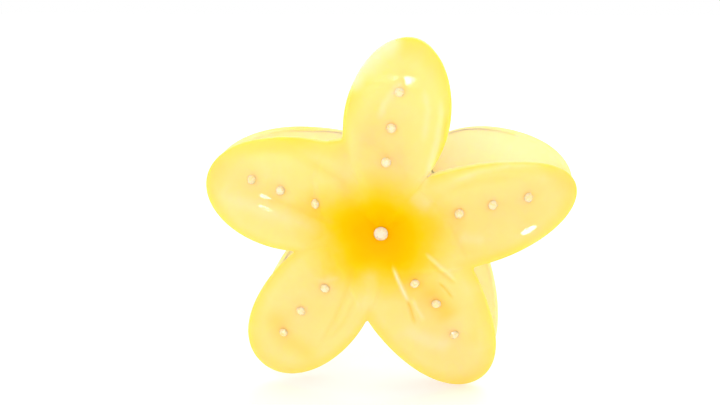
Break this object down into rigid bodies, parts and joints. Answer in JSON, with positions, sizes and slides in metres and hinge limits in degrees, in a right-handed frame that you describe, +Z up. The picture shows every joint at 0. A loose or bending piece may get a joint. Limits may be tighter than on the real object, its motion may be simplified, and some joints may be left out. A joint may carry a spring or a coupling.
{
  "type": "flower hair claw clip",
  "caption": "Flower-shaped claw clip for hair: translucent yellow petalled jaws on a sprung hinge, set with small faceted stones.",
  "frame": {"origin": "on the surface that the closed clip stands on, under the middle of its box", "axes": "+X to the right of someone facing the front flower and along the hinge pin, +Y from the front flower to the rear one, +Z up, towards the thumb petals"},
  "size_m": [0.0798, 0.036, 0.0769],
  "materials": {
    "petal_plastic": "glossy translucent yellow plastic, deeper orange yellow at the flower's middle",
    "crystal": "faceted flat-backed stone of clear resin, tinted cream by the yellow plastic under it",
    "steel": "bright plated steel",
    "spring_wire": "drawn spring wire, plated"
  },
  "bodies": {
    "front": {"front_jaw": "petal_plastic", "hinge_pin": "steel", "torsion_spring": "spring_wire", "front_middle_stone": "crystal", "front_top_stone_1": "crystal", "front_top_stone_2": "crystal", "front_top_stone_3": "crystal", "front_left_stone_1": "crystal", "front_left_stone_2": "crystal", "front_left_stone_3": "crystal", "front_lower_left_stone_1": "crystal", "front_lower_left_stone_2": "crystal", "front_lower_left_stone_3": "crystal", "front_lower_right_stone_1": "crystal", "front_lower_right_stone_2": "crystal", "front_lower_right_stone_3": "crystal", "front_right_stone_1": "crystal", "front_right_stone_2": "crystal", "front_right_stone_3": "crystal"},
    "rear": {"rear_jaw": "petal_plastic", "rear_middle_stone": "crystal", "rear_top_stone_1": "crystal", "rear_top_stone_2": "crystal", "rear_top_stone_3": "crystal", "rear_left_stone_1": "crystal", "rear_left_stone_2": "crystal", "rear_left_stone_3": "crystal", "rear_lower_left_stone_1": "crystal", "rear_lower_left_stone_2": "crystal", "rear_lower_left_stone_3": "crystal", "rear_lower_right_stone_1": "crystal", "rear_lower_right_stone_2": "crystal", "rear_lower_right_stone_3": "crystal", "rear_right_stone_1": "crystal", "rear_right_stone_2": "crystal", "rear_right_stone_3": "crystal"}
  },
  "joints": [
    {"name": "clip_hinge", "type": "hinge", "parent": "front", "child": "rear", "pos_m": [-0.00143, 0, 0.05013], "axis": [1, 0, 0], "range_deg": [0, 46], "stiffness_Nm_per_rad": 0.15, "springref_deg": -40.11, "deforming": ["torsion_spring"]}
  ]
}
